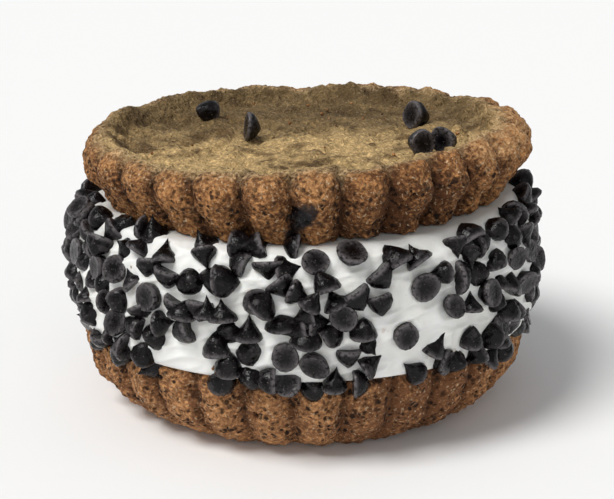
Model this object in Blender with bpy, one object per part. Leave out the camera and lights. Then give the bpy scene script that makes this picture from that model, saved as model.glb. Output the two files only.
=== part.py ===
"""An ice cream sandwich: two thick fluted cookies with a bulging band of ice cream between them.

Metres, +Z up. The sandwich stands on z = 0 with its axis on the Z axis, and -Y is its front.
"""

import math

import bmesh
import bpy

# Driving dimensions of the whole sandwich
COOKIE_RADIUS = 0.0425  # out to the tops of the flutes, at the widest level
LOWER_THICKNESS = 0.0160
ICE_CREAM_THICKNESS = 0.0228  # at the axis
UPPER_THICKNESS = 0.0125  # from its underside to the mean height of its rim
TOUCHING_GAP = 0.0003
UPPER_TILT = math.radians(1.8)  # the ice cream is thicker at +X, so the upper cookie rises that way
UPPER_NOD = math.radians(0.7)  # and it is a little thinner at the front

# The fluted edge that both cookies take from the baking tin
FLUTES = 30
COLUMNS_PER_FLUTE = 6
FLUTE_DEPTH = 0.0015
GROOVE_ANGLE = math.radians(-92.7)  # one groove runs just left of the front
LOBE_SHARPNESS = 2.4  # above 2, the lobes are round and the grooves narrow

# Upper cookie: narrow where it meets the ice cream, wide above, with a raised rim round a shallow dish
UPPER_FOOT_RADIUS = 0.0390
UPPER_FOOT_ROUND = 0.0015
RIM_CREST_RADIUS = 0.0386
RIM_HALF_HEIGHT = 0.0040
DISH_RADIUS = 0.0325
DISH_DEPTH = 0.0020

# Lower cookie: almost straight just below the ice cream, then one large round down to a flat base
LOWER_ROUND_WIDTH = 0.0140
LOWER_ROUND_HEIGHT = 0.0145
LOWER_TOP_ROUND = 0.0009

# Ice cream: pressed thinner at the top, widest a little below its middle
BAND_TOP_RADIUS = 0.0386
BAND_BULGE_RADIUS = 0.0437
BAND_FOOT_RADIUS = 0.0424
BULGE_HEIGHT = 0.42  # share of the band's thickness
BAND_COLUMNS = 90

# Slow unevenness round the edge, as (amplitude in metres, waves in a turn, phase in radians)
UPPER_WIDTH_WAVES = ((0.00022, 2, 0.4), (0.00016, 5, 2.1), (0.00012, 11, 0.9))
UPPER_RIM_WAVES = ((0.00045, 2, 2.3), (0.00025, 7, 0.3), (0.00028, 13, 2.6))
LOWER_WIDTH_WAVES = ((0.00020, 3, 1.9), (0.00016, 4, 0.2), (0.00012, 9, 1.4))
BAND_WAVES = ((0.00035, 3, 2.3), (0.00030, 5, 0.7), (0.00025, 8, 1.8))

COOKIE_BROWN = (0.235, 0.115, 0.048)
DARK_COOKIE_BROWN = (0.190, 0.090, 0.040)
CREAM_WHITE = (0.820, 0.815, 0.780)


def clear_scene():
    for old in list(bpy.data.objects):
        bpy.data.objects.remove(old)


def arc(centre, radii, start, end, steps):
    """Points (radius, height) along an ellipse's arc, with angles in degrees from outward towards up."""
    points = []
    for step in range(steps + 1):
        angle = math.radians(start + (end - start) * step / steps)
        points.append((centre[0] + radii[0] * math.cos(angle), centre[1] + radii[1] * math.sin(angle)))
    return points


def waves(angle, terms):
    return sum(size * math.sin(count * angle + phase) for size, count, phase in terms)


def flute(angle):
    """0 on the top of a lobe, 1 in the narrow groove between two lobes."""
    turn = (angle - GROOVE_ANGLE) * FLUTES / math.tau
    across = 2 * (turn - math.floor(turn)) - 1
    return abs(across) ** LOBE_SHARPNESS


def ramp(value, low, high):
    """0 at low, 1 at high, easing in and out between them."""
    share = min(max((value - low) / (high - low), 0), 1)
    return share * share * (3 - 2 * share)


def turned(outline, columns):
    """A closed bmesh turned round Z from an outline of (radius, height), with a flat face at each end."""
    bm = bmesh.new()
    first_angle = GROOVE_ANGLE
    around = (math.cos(first_angle), math.sin(first_angle))
    points = [bm.verts.new((radius * around[0], radius * around[1], height)) for radius, height in outline]
    edges = [bm.edges.new(pair) for pair in zip(points, points[1:])]
    bmesh.ops.spin(
        bm, geom=points + edges, cent=(0, 0, 0), axis=(0, 0, 1), angle=math.tau, steps=columns, use_merge=True
    )
    bmesh.ops.holes_fill(bm, edges=[edge for edge in bm.edges if edge.is_boundary], sides=0)
    bmesh.ops.recalc_face_normals(bm, faces=bm.faces)
    return bm


def reshape(bm, outward, upward):
    """Moves each point outwards and upwards by functions of its radius, height and angle."""
    for vert in bm.verts:
        x, y, height = vert.co
        radius = math.hypot(x, y)
        angle = math.atan2(y, x)
        new_radius = radius + outward(radius, height, angle)
        vert.co = (
            new_radius * math.cos(angle),
            new_radius * math.sin(angle),
            height + upward(radius, height, angle),
        )


def plain_material(name, colour, roughness):
    material = bpy.data.materials.new(name)
    material.use_nodes = True
    shader = material.node_tree.nodes["Principled BSDF"]
    shader.inputs["Base Color"].default_value = (*colour, 1)
    shader.inputs["Roughness"].default_value = roughness
    shader.inputs["Metallic"].default_value = 0
    return material


def add_piece(name, bm, material, height, parent):
    mesh = bpy.data.meshes.new(name)
    bm.to_mesh(mesh)
    bm.free()
    mesh.shade_smooth()
    mesh.set_sharp_from_angle(angle=math.radians(40))
    mesh.materials.append(material)
    piece = bpy.data.objects.new(name, mesh)
    piece.location = (0, 0, height)
    piece.parent = parent
    bpy.context.scene.collection.objects.link(piece)
    return piece


def lower_cookie(parent):
    """The cookie that the sandwich stands on."""
    base_radius = COOKIE_RADIUS - LOWER_ROUND_WIDTH
    top_centre = (COOKIE_RADIUS - LOWER_TOP_ROUND, LOWER_THICKNESS - LOWER_TOP_ROUND)
    outline = arc((base_radius, LOWER_ROUND_HEIGHT), (LOWER_ROUND_WIDTH, LOWER_ROUND_HEIGHT), -90, 0, 6)
    outline += arc(top_centre, (LOWER_TOP_ROUND, LOWER_TOP_ROUND), 0, 90, 2)
    bm = turned(outline, FLUTES * COLUMNS_PER_FLUTE)

    def outward(radius, height, angle):
        edge_share = ramp(radius, base_radius - 0.002, COOKIE_RADIUS - 0.003)
        return waves(angle, LOWER_WIDTH_WAVES) * edge_share - FLUTE_DEPTH * flute(angle) * edge_share

    reshape(bm, outward, lambda radius, height, angle: 0)
    return add_piece("lower_cookie", bm, plain_material("lower_crumb", DARK_COOKIE_BROWN, 0.85), 0, parent)


def ice_cream(parent):
    """The band of ice cream: its base is level, and its top leans with the upper cookie."""
    bulge_height = BULGE_HEIGHT * ICE_CREAM_THICKNESS
    foot_bulge = (BAND_BULGE_RADIUS - BAND_FOOT_RADIUS, bulge_height)
    shoulder = (BAND_BULGE_RADIUS - BAND_TOP_RADIUS, ICE_CREAM_THICKNESS - bulge_height)
    outline = arc((BAND_FOOT_RADIUS, bulge_height), foot_bulge, -90, 0, 4)
    outline += arc((BAND_TOP_RADIUS, bulge_height), shoulder, 0, 90, 6)[1:]
    bm = turned(outline, BAND_COLUMNS)

    def outward(radius, height, angle):
        lift = math.sin(math.pi * height / ICE_CREAM_THICKNESS)
        return waves(angle + 40 * height, BAND_WAVES) * lift

    def upward(radius, height, angle):
        lean = math.cos(angle) * math.tan(UPPER_TILT) + math.sin(angle) * math.tan(UPPER_NOD)
        return height / ICE_CREAM_THICKNESS * radius * lean

    reshape(bm, outward, upward)
    height = LOWER_THICKNESS + TOUCHING_GAP
    return add_piece("ice_cream", bm, plain_material("ice_cream", CREAM_WHITE, 0.45), height, parent)


def upper_cookie(parent):
    """The cookie on top, dished inside an uneven raised rim."""
    rim_width = COOKIE_RADIUS - RIM_CREST_RADIUS
    rim_centre = (RIM_CREST_RADIUS, UPPER_THICKNESS - RIM_HALF_HEIGHT)
    foot_centre = (UPPER_FOOT_RADIUS - UPPER_FOOT_ROUND, UPPER_FOOT_ROUND)
    outline = arc(foot_centre, (UPPER_FOOT_ROUND, UPPER_FOOT_ROUND), -90, 0, 2)
    outline += arc(rim_centre, (rim_width, RIM_HALF_HEIGHT), -20, 130, 7)
    outline += [(DISH_RADIUS, UPPER_THICKNESS - DISH_DEPTH)]
    bm = turned(outline, FLUTES * COLUMNS_PER_FLUTE)

    def outward(radius, height, angle):
        edge_share = ramp(radius, DISH_RADIUS, UPPER_FOOT_RADIUS)
        return waves(angle, UPPER_WIDTH_WAVES) * edge_share - FLUTE_DEPTH * flute(angle) * edge_share

    def upward(radius, height, angle):
        return waves(angle, UPPER_RIM_WAVES) * ramp(height, UPPER_THICKNESS - DISH_DEPTH, UPPER_THICKNESS)

    reshape(bm, outward, upward)
    height = LOWER_THICKNESS + ICE_CREAM_THICKNESS + 2 * TOUCHING_GAP
    piece = add_piece("upper_cookie", bm, plain_material("upper_crumb", COOKIE_BROWN, 0.85), height, parent)
    piece.rotation_euler = (UPPER_NOD, -UPPER_TILT, 0)
    return piece


def main():
    clear_scene()
    sandwich = bpy.data.objects.new("sandwich", None)
    bpy.context.scene.collection.objects.link(sandwich)
    lower_cookie(sandwich)
    ice_cream(sandwich)
    upper_cookie(sandwich)


main()
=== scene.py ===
# %% [markdown]
# # An ice cream sandwich rolled in mini chocolate chips
#
# Two thick cookies, baked in a fluted tin, hold a slab of vanilla ice cream whose side has been rolled in
# mini chocolate chips. A imported part already gives the three solids their true size and place. This lesson
# builds the looks round it: porous crumb, soft ice cream, hundreds of chips, and a plain white setting.
# Loading the part comes first, because the lower cookie's top and the gap above it are read from it.

# %% Load the imported part
import math
import random

import bmesh
import bpy
from mathutils import Matrix, Vector, noise
from mathutils.kdtree import KDTree


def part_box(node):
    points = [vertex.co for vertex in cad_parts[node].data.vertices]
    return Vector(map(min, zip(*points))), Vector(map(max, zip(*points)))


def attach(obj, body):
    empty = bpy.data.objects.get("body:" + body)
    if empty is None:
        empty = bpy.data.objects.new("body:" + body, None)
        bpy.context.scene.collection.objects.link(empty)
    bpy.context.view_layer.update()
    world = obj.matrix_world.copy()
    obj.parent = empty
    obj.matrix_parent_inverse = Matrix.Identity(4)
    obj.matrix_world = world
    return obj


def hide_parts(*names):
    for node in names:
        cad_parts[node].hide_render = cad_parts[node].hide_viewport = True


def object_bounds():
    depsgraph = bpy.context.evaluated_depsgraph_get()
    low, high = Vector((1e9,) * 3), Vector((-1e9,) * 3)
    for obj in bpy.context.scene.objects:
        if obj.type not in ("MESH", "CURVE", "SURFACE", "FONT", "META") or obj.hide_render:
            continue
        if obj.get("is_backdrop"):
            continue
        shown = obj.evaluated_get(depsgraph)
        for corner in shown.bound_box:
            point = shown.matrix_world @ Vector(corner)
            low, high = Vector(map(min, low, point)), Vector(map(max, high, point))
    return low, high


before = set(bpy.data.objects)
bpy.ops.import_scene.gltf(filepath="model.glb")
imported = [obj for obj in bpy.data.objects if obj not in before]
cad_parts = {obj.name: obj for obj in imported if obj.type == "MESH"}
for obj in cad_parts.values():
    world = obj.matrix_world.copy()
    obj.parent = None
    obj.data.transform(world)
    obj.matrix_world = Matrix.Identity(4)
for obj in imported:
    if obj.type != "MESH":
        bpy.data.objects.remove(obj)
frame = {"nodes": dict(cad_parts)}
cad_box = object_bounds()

print("nodes:", ", ".join(frame["nodes"]))

# %% [markdown]
# ## Sizes in millimetres
#
# Food this small is easiest to think about in millimetres, so the pieces are modelled in them and scaled to
# Blender's metres when they are finished. The lower cookie's top and the gap above it come from the boxes of
# the imported solids, and the other sizes are given. The flutes repeat the tin's: thirty round lobes, with a
# narrow groove between each two.

# %% Read the heights and repeat the tin's shape
MM = 0.001
TURN = math.tau

LOWER_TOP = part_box("lower_cookie")[1].z / MM
TOUCHING_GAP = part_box("ice_cream")[0].z / MM - LOWER_TOP
ICE_CREAM_FOOT = LOWER_TOP + TOUCHING_GAP
COOKIE_RADIUS = 42.5
ICE_CREAM_THICKNESS = 22.8
UPPER_FOOT = ICE_CREAM_FOOT + ICE_CREAM_THICKNESS + TOUCHING_GAP
UPPER_THICKNESS = 12.5
UPPER_TILT = math.radians(1.8)
UPPER_NOD = math.radians(0.7)

FLUTES = 30
FLUTE_DEPTH = 1.75
GROOVE_ANGLE = math.radians(-92.7)
LOBE_SHARPNESS = 2.1


def ramp(value, low, high):
    """0 at low, 1 at high, easing in and out between them."""
    share = min(max((value - low) / (high - low), 0), 1)
    return share * share * (3 - 2 * share)


def waves(angle, terms):
    """Slow unevenness round the edge, from (size, waves in a turn, phase)."""
    return sum(size * math.sin(count * angle + phase) for size, count, phase in terms)


def flute(angle):
    """0 on the top of a lobe, 1 in the narrow groove between two lobes."""
    turn = (angle - GROOVE_ANGLE) * FLUTES / TURN
    across = 2 * (turn - math.floor(turn)) - 1
    return abs(across) ** LOBE_SHARPNESS


def from_front(degrees):
    """The angle round the axis of a place so many degrees to the right of the front."""
    return math.radians(degrees - 90)


def at_side(degrees, radius, height):
    """The place so many degrees to the right of the front, so far from the axis and so high."""
    angle = from_front(degrees)
    return Vector((radius * math.cos(angle), radius * math.sin(angle), height))


print(f"lower cookie up to {LOWER_TOP:.1f} mm, upper cookie from {UPPER_FOOT:.1f} mm")

# %% [markdown]
# ## Fine shells from rolled grids
#
# Crumb needs a mesh whose faces are about a third of a millimetre across. Spinning an outline that finely is
# slow, so a flat grid is rolled up instead: its width goes once round the axis, and its height follows the
# outline. The grid's own flat layout is written down first as a UV map, cut into strips, which gives an even
# map with one seam for each strip.

# %% Roll a grid round the axis
MAP_NAME = "OFBake"
MAP_MARGIN = 0.004


def arc(centre, radii, start, end, steps):
    """Points (radius, height) along an ellipse's arc, with angles in degrees from outward towards up."""
    points = []
    for step in range(steps + 1):
        angle = math.radians(start + (end - start) * step / steps)
        points.append((centre[0] + radii[0] * math.cos(angle), centre[1] + radii[1] * math.sin(angle)))
    return points


def evenly(outline, count):
    """The outline read at count + 1 places that lie equally far apart along it."""
    reach = [0]
    for before, after in zip(outline, outline[1:]):
        reach.append(reach[-1] + math.dist(before, after))
    places = []
    part = 0
    for step in range(count + 1):
        wanted = reach[-1] * step / count
        while part < len(outline) - 2 and reach[part + 1] < wanted:
            part += 1
        share = (wanted - reach[part]) / (reach[part + 1] - reach[part])
        places.append(Vector(outline[part]).lerp(Vector(outline[part + 1]), share))
    return places


def roll(bm, outline, columns, rows, strips=1, strip_height=1):
    """Adds a grid rolled round Z along the outline, with its seam closed, and returns its faces."""
    old = set(bm.faces)
    grid = bmesh.ops.create_grid(bm, x_segments=columns, y_segments=rows, size=0.5)["verts"]
    faces = [face for face in bm.faces if face not in old]
    uv = bm.loops.layers.uv.verify()
    for face in faces:
        strip = math.floor(strips * (face.calc_center_median().x + 0.5))
        for loop in face.loops:
            across = strips * (loop.vert.co.x + 0.5) - strip
            up = (strip + (loop.vert.co.y + 0.5) * (1 - MAP_MARGIN)) * strip_height
            loop[uv].uv = (MAP_MARGIN + across * (1 - 2 * MAP_MARGIN), MAP_MARGIN + up)
    places = evenly(outline, rows)
    for vert in grid:
        radius, height = places[round((vert.co.y + 0.5) * rows)]
        angle = GROOVE_ANGLE + TURN * (vert.co.x + 0.5)
        vert.co = (radius * math.cos(angle), radius * math.sin(angle), height)
    bmesh.ops.remove_doubles(bm, verts=grid, dist=0.001)
    return faces


def open_edges(bm, low, high):
    """The open edges whose distance from the axis lies between low and high."""
    return [
        edge
        for edge in bm.edges
        if edge.is_boundary and low < edge.verts[0].co.xy.length < high
    ]


def map_flat(bm, faces, centre, scale):
    """Lays the faces in the UV map as they are seen from above."""
    uv = bm.loops.layers.uv.verify()
    for face in faces:
        for loop in face.loops:
            loop[uv].uv = (centre[0] + loop.vert.co.x * scale, centre[1] + loop.vert.co.y * scale)


def reshape(bm, outward, upward):
    """Moves each point outwards and upwards by functions of its radius, height and angle."""
    for vert in bm.verts:
        x, y, height = vert.co
        radius = math.hypot(x, y)
        angle = math.atan2(y, x)
        new_radius = radius + outward(radius, height, angle)
        lifted = height + upward(radius, height, angle)
        vert.co = (new_radius * math.cos(angle), new_radius * math.sin(angle), lifted)


def finish_piece(name, bm, material, node=None):
    """Turns a bmesh in millimetres into a piece in metres that rides on the sandwich."""
    bmesh.ops.scale(bm, vec=(MM, MM, MM), verts=bm.verts)
    mesh = bpy.data.meshes.new(name)
    bm.to_mesh(mesh)
    bm.free()
    mesh.shade_smooth()
    mesh.materials.append(material)
    if mesh.uv_layers:
        mesh.uv_layers[0].name = MAP_NAME
    piece = bpy.data.objects.new(name, mesh)
    bpy.context.scene.collection.objects.link(piece)
    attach(piece, "root")
    if node:
        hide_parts(node)
    triangles = sum(len(polygon.vertices) - 2 for polygon in mesh.polygons)
    sides = ", ".join(f"{side / MM:.1f}" for side in piece.dimensions)
    print(f"{name}: {triangles} triangles, {sides} mm")


# %% [markdown]
# ## Shader maths that reads like arithmetic
#
# Each finish below mixes a handful of patterns. Written as nodes and links that takes pages, so one small
# class wraps a socket and lets it be added, taken away and multiplied, and another adds any node by its
# type, its settings and what feeds it.

# %% Wrap sockets and materials
class Level:
    """A socket that takes part in arithmetic: every operator adds the Math node that it stands for."""

    def __init__(self, finish, socket):
        self.finish = finish
        self.socket = socket

    def math(self, operation, first, second):
        return self.finish.node("ShaderNodeMath", {"operation": operation}, {0: first, 1: second})

    def __add__(self, other):
        return self.math("ADD", self, other)

    __radd__ = __add__

    def __sub__(self, other):
        return self.math("SUBTRACT", self, other)

    def __rsub__(self, other):
        return self.math("SUBTRACT", other, self)

    def __mul__(self, other):
        return self.math("MULTIPLY", self, other)

    __rmul__ = __mul__


class Finish:
    """A material made of a Principled BSDF and the nodes that feed it."""

    def __init__(self, name, **constants):
        self.material = bpy.data.materials.new(name)
        self.material.use_nodes = True
        self.tree = self.material.node_tree
        self.shader = self.tree.nodes["Principled BSDF"]
        for socket, value in constants.items():
            self.shader.inputs[socket.replace("_", " ")].default_value = value
        self.place = self.node("ShaderNodeTexCoord", output="Object")

    def feed(self, socket, value):
        if isinstance(value, Level):
            self.tree.links.new(value.socket, socket)
        else:
            socket.default_value = value

    def node(self, kind, settings=None, values=None, output=0):
        """Adds a node, sets its settings first and its sockets after, and returns one of its outputs."""
        node = self.tree.nodes.new(kind)
        for name, value in (settings or {}).items():
            setattr(node, name, value)
        for name, value in (values or {}).items():
            self.feed(node.inputs[name], value)
        return Level(self, node.outputs[output])

    def noise(self, size, detail=2, roughness=0.5, place=None):
        """Cloudy noise from 0 to 1 whose patches are about size millimetres across."""
        values = {"Scale": 1 / (size * MM), "Detail": detail, "Roughness": roughness}
        return self.node("ShaderNodeTexNoise", values={"Vector": place or self.place, **values})

    def cells(self, size, place=None):
        """The distance to the nearest of many scattered points, in shares of size millimetres."""
        values = {"Scale": 1 / (size * MM), "Randomness": 1}
        return self.node("ShaderNodeTexVoronoi", values={"Vector": place or self.place, **values})

    def warped(self, size, amount):
        """The place, pushed about by amount millimetres in patches about size millimetres across."""
        values = {"Vector": self.place, "Scale": 1 / (size * MM), "Detail": 1}
        push = self.node("ShaderNodeTexNoise", values=values, output=1)
        settings = {"operation": "MULTIPLY_ADD"}
        return self.node("ShaderNodeVectorMath", settings, {0: push, 1: (amount * MM,) * 3, 2: self.place})

    def past_pore(self, spacing, widest, place):
        """How far a place lies from the edge of the nearest pore, and below 0 inside one."""
        distance = self.cells(spacing, place=place)
        luck = self.ramp(Level(self, distance.socket.node.outputs["Color"]), 0.30, 0.75)
        return distance - widest * luck

    def least(self, first, second):
        """The smaller of two numbers."""
        return self.node("ShaderNodeMath", {"operation": "MINIMUM"}, {0: first, 1: second})

    def most(self, first, second):
        """The larger of two numbers."""
        return self.node("ShaderNodeMath", {"operation": "MAXIMUM"}, {0: first, 1: second})

    def ramp(self, value, low, high):
        """0 at low, 1 at high, easing in and out between them."""
        settings = {"interpolation_type": "SMOOTHSTEP"}
        return self.node("ShaderNodeMapRange", settings, {0: value, 1: low, 2: high, 3: 0, 4: 1})

    def mix(self, share, first, second):
        """A colour between first and second, each a link or (red, green, blue)."""
        ends = [(*colour, 1) if isinstance(colour, tuple) else colour for colour in (first, second)]
        values = {0: share, 6: ends[0], 7: ends[1]}
        return self.node("ShaderNodeMix", {"data_type": "RGBA"}, values, output=2)

    def painted(self, name):
        """A number that the mesh holds at each of its points."""
        return self.node("ShaderNodeAttribute", {"attribute_name": name}, output="Fac")

    def bump(self, height, depth, below=None):
        """The surface's normal after the height, from 0 to 1, is raised by depth millimetres."""
        values = {"Height": height, "Distance": depth * MM, "Strength": 1}
        if below:
            values["Normal"] = below
        return self.node("ShaderNodeBump", values=values)

    def surface(self, **links):
        """Feeds the shader's sockets and returns the material."""
        for socket, value in links.items():
            self.feed(self.shader.inputs[socket.replace("_", " ")], value)
        return self.material


# %% [markdown]
# ## The cookies' crumb
#
# A short cookie that is baked in a tin has an open, sandy crumb at its side: countless pin holes, some wider
# cavities, and light grains of sugar that catch the light, partly painted glints. The cavities are deep
# enough to need real relief, and the pin holes are left to the material. Both cookies share one finish in two
# tones, and the lower one is painted a little lighter to make up for the shade it stands in. The points carry
# how deep in a pit they lie, so that colour and shape agree, and pores, pits and grooves are painted with
# shade.

# %% Mix the crumb's finish
PALE_CRUST_AND_HIGHLIGHT = (0.62, 0.44, 0.24)
DISH_SHADE = (0.105, 0.070, 0.028)
DISH_DUST = (0.92, 0.650, 0.300)
CREST_SPECKS_AND_HIGHLIGHT = (0.66, 0.48, 0.27)
SUGAR_AND_GLINT = (0.88, 0.66, 0.42)
SMEARED_CHOCOLATE = (0.048, 0.032, 0.027)
# Each holds a tan, a brown, and a near-black that is painted as shade in pores, pits and grooves.
UPPER_BROWNS = ((0.60, 0.285, 0.106), (0.120, 0.046, 0.017), (0.012, 0.005, 0.003))
# The lower cookie's browns are painted lighter to make up for the shade it stands in.
LOWER_BROWNS_PAINTED_PALER = ((0.66, 0.328, 0.136), (0.205, 0.085, 0.035), (0.014, 0.006, 0.003))


def crumb_finish(name, tan, brown, shade_brown):
    """Baked crumb between three browns, the darkest one painted as shade in pin holes, pits and grooves, with
    grains partly painted as glints.
    """
    crumb = Finish(name, Specular_IOR_Level=0.22)
    pit = crumb.painted("pit")
    groove = crumb.painted("groove")
    open_texture = crumb.painted("open_texture")
    baked_top = crumb.painted("baked_top")
    painted_shade_and_light = crumb.painted("painted_shade_and_light")
    smear = crumb.painted("smear")

    patchy = crumb.ramp(crumb.noise(3.2), 0.36, 0.60)
    bent = crumb.warped(1.3, 0.7)
    reach = 0.46 + 0.18 * patchy * open_texture + 0.08 * groove
    past = crumb.least(crumb.past_pore(1.65, 0.8 * reach, bent), crumb.past_pore(0.85, reach, bent))
    openness = 0.30 + 0.70 * open_texture
    bowls = (1 - crumb.ramp(past, -0.22, 0.12)) * openness
    holes = (1 - crumb.ramp(past, -0.26, 0.00)) * openness

    blotches = crumb.ramp(crumb.noise(5.5, detail=3), 0.30, 0.70)
    grains = 1 - crumb.ramp(crumb.cells(0.70, place=bent), 0.15, 0.80)
    sand = crumb.ramp(crumb.noise(0.75, detail=4, roughness=0.7), 0.38, 0.62)
    # Darker in the grooves: partly denser crumb, partly painted shade. One side and the dish's back are
    # painted darker as shade.
    tone = 0.22 * blotches + 0.34 * grains + 0.48 * sand - 0.46 * groove - 0.34 * painted_shade_and_light
    colour = crumb.mix(crumb.ramp(tone, -0.05, 1.0), brown, tan)
    # The rim on the smooth side is painted lighter: partly a lighter crust, partly a painted highlight.
    colour = crumb.mix(0.50 * crumb.ramp(0 - painted_shade_and_light, 0, 1) * sand, colour, PALE_CRUST_AND_HIGHLIGHT)
    worn_top = crumb.ramp(0.5 * crumb.noise(3.5, detail=4) + 0.5 * crumb.noise(9.0), 0.36, 0.57)
    # The dish's light patches thin out towards its back, where shade is painted.
    pale_dust = worn_top * (0.55 + 0.45 * sand) * (1 - 0.80 * painted_shade_and_light)
    dusty = crumb.mix(pale_dust, DISH_SHADE, DISH_DUST)
    colour = crumb.mix(0.85 * baked_top, colour, dusty)
    # A light line along the rim's crest: partly light specks, partly a painted highlight.
    crest_specks_and_highlight = 4 * baked_top * (1 - baked_top)
    colour = crumb.mix(0.6 * crest_specks_and_highlight * sand, colour, CREST_SPECKS_AND_HIGHLIGHT)
    # Pores and pits are painted near black, as the shade inside them.
    colour = crumb.mix(0.95 * holes * (1 - 0.5 * baked_top), colour, shade_brown)
    colour = crumb.mix(pit, colour, shade_brown)
    # A narrow painted shade along the bottom of each groove.
    groove_shade = groove * groove * groove
    colour = crumb.mix(0.40 * groove_shade * (1 - baked_top), colour, shade_brown)
    # Light grains: partly sugar, partly painted glints of light.
    sparkle = crumb.ramp(crumb.noise(0.60), 0.60, 0.70) * (1 - pit) * (1 - holes)
    colour = crumb.mix(0.60 * sparkle * (1 - 0.7 * groove) * (1 - 0.6 * baked_top), colour, SUGAR_AND_GLINT)
    colour = crumb.mix(smear, colour, SMEARED_CHOCOLATE)

    height = 0.45 * grains + 0.40 * sand - 1.3 * bowls + 0.25 * sparkle
    return crumb.surface(
        Base_Color=colour,
        Roughness=0.86 - 0.34 * sparkle - 0.18 * baked_top,
        Normal=crumb.bump(height, 0.50),
    )


upper_crumb = crumb_finish("upper_crumb", *UPPER_BROWNS)
lower_crumb = crumb_finish("lower_crumb", *LOWER_BROWNS_PAINTED_PALER)
print("crumb finishes:", upper_crumb.name, lower_crumb.name)

# %% [markdown]
# ## Weathering the crumb
#
# One function roughens either cookie. It sums lumps of several sizes, then sinks a pit round some of a field
# of scattered points. Each point of the mesh moves along its own normal, so that lobes, grooves and the
# rounded edges are all treated alike.

# %% Roughen a cookie
SHADED_SIDE = 30  # degrees right of the front, where the side is painted darkest, as shade
PIT_SEED = 1

noise.seed_set(PIT_SEED)  # without a seed, noise_vector starts from the clock and moves the pits


def pit_depth(place, spacing, share, narrow, wide, shift):
    """How deep, from 0 to 1, a place lies in one of the round pits scattered about so far apart."""
    distances, centres = noise.voronoi(place / spacing + shift)
    luck = (centres[0].x * 12.9 + centres[0].y * 78.2 + centres[0].z * 37.7) % 1
    if luck > share:
        return 0
    radius = narrow + (wide - narrow) * luck / share
    return 1 - ramp(distances[0] * spacing, radius * 0.35, radius)


def lumps(place):
    """Unevenness of the crumb in millimetres, from slow swells to grains."""
    swell = 0.36 * noise.noise(place * 0.16)
    knobs = 0.52 * noise.noise(place * 0.38 + Vector((9, 4, 7)))
    grains = 0.36 * noise.noise(place * 0.95 + Vector((3, 8, 1)))
    return swell + knobs + grains + 0.14 * noise.noise(place * 2.0)


def roughen(bm, openness, top_share, hollows, smears, pale_crust_and_highlight):
    """Gives a cookie its lumps, pits and hollows, and writes down what its material reads.

    A hollow is (centre, radius, depth), and one with a depth below 0 is a knob that stands up.
    """
    names = ("pit", "groove", "open_texture", "baked_top", "smear", "painted_shade_and_light")
    pit, groove, open_texture, baked_top, smear, painted_shade_and_light = [bm.verts.layers.float.new(name) for name in names]
    bm.normal_update()
    moves = []
    for vert in bm.verts:
        place = vert.co.copy()
        angle = math.atan2(place.y, place.x)
        patchy = ramp(noise.noise(place * 0.30 + Vector((1, 5, 2))), -0.35, 0.35)
        opened = openness(place) * (0.45 + 0.55 * patchy)
        top = top_share(place)
        bent = place + 0.5 * noise.noise_vector(place * 0.8)
        wide = pit_depth(bent, 2.6, 0.22 * opened, 0.45, 0.80, Vector((0, 0, 0)))
        small = pit_depth(bent, 1.35, 0.65 * opened, 0.30, 0.50, Vector((4, 2, 9)))
        hollow = sum(
            depth * (1 - ramp((place - centre).length, 0.25 * size, size)) for centre, size, depth in hollows
        )
        sunk = 0.80 * wide + 0.50 * small + hollow
        # How deep a point lies in a pit; the material paints this as shade.
        vert[pit] = ramp(0.80 * wide + 0.70 * small + 0.6 * hollow, 0.30, 0.9)
        vert[groove] = flute(angle) * ramp(place.xy.length, 33, 38)
        vert[open_texture] = opened
        vert[baked_top] = top
        vert[smear] = smears(place)
        # One side of the cookie and the back of its dish are painted darker as shade, and the rim on the
        # smooth side paler, partly as a highlight.
        side_shade = ramp(math.cos(angle - from_front(SHADED_SIDE)), 0.90, 1.0)
        vert[painted_shade_and_light] = side_shade + (ramp(place.y, -12, 16) - side_shade) * top - pale_crust_and_highlight(place)
        moves.append(vert.normal * (lumps(place) * (1 - 0.1 * top) - sunk))
    for vert, move in zip(bm.verts, moves):
        vert.co += move


# %% [markdown]
# ## The lower cookie
#
# The sandwich stands on this one. It has a straight fluted side for a little way below the ice cream, then
# one large round that the flutes follow down to a flat base. Its side is one rolled grid, and flat faces
# close it above, where the ice cream lies, and below.

# %% Build the lower cookie
CRUMB_COLUMNS = 28 * FLUTES
LOWER_ROUND_WIDTH = 14.0
LOWER_ROUND_HEIGHT = 14.5
LOWER_TOP_ROUND = 0.9
LOWER_ROWS = 78
LOWER_WIDTH_WAVES = ((0.20, 3, 1.9), (0.16, 4, 0.2), (0.12, 9, 1.4))
WALL_STRIP = 0.21
LOWER_HOLLOWS = (
    (at_side(-12, 41.0, 9.1), 1.0, 1.5),
    (at_side(-38, 41.5, 6.8), 1.6, 0.6),
    (at_side(33, 40.0, 7.5), 1.3, 0.7),
    (at_side(5, 41.0, 9.6), 0.9, 0.8),
)


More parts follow.
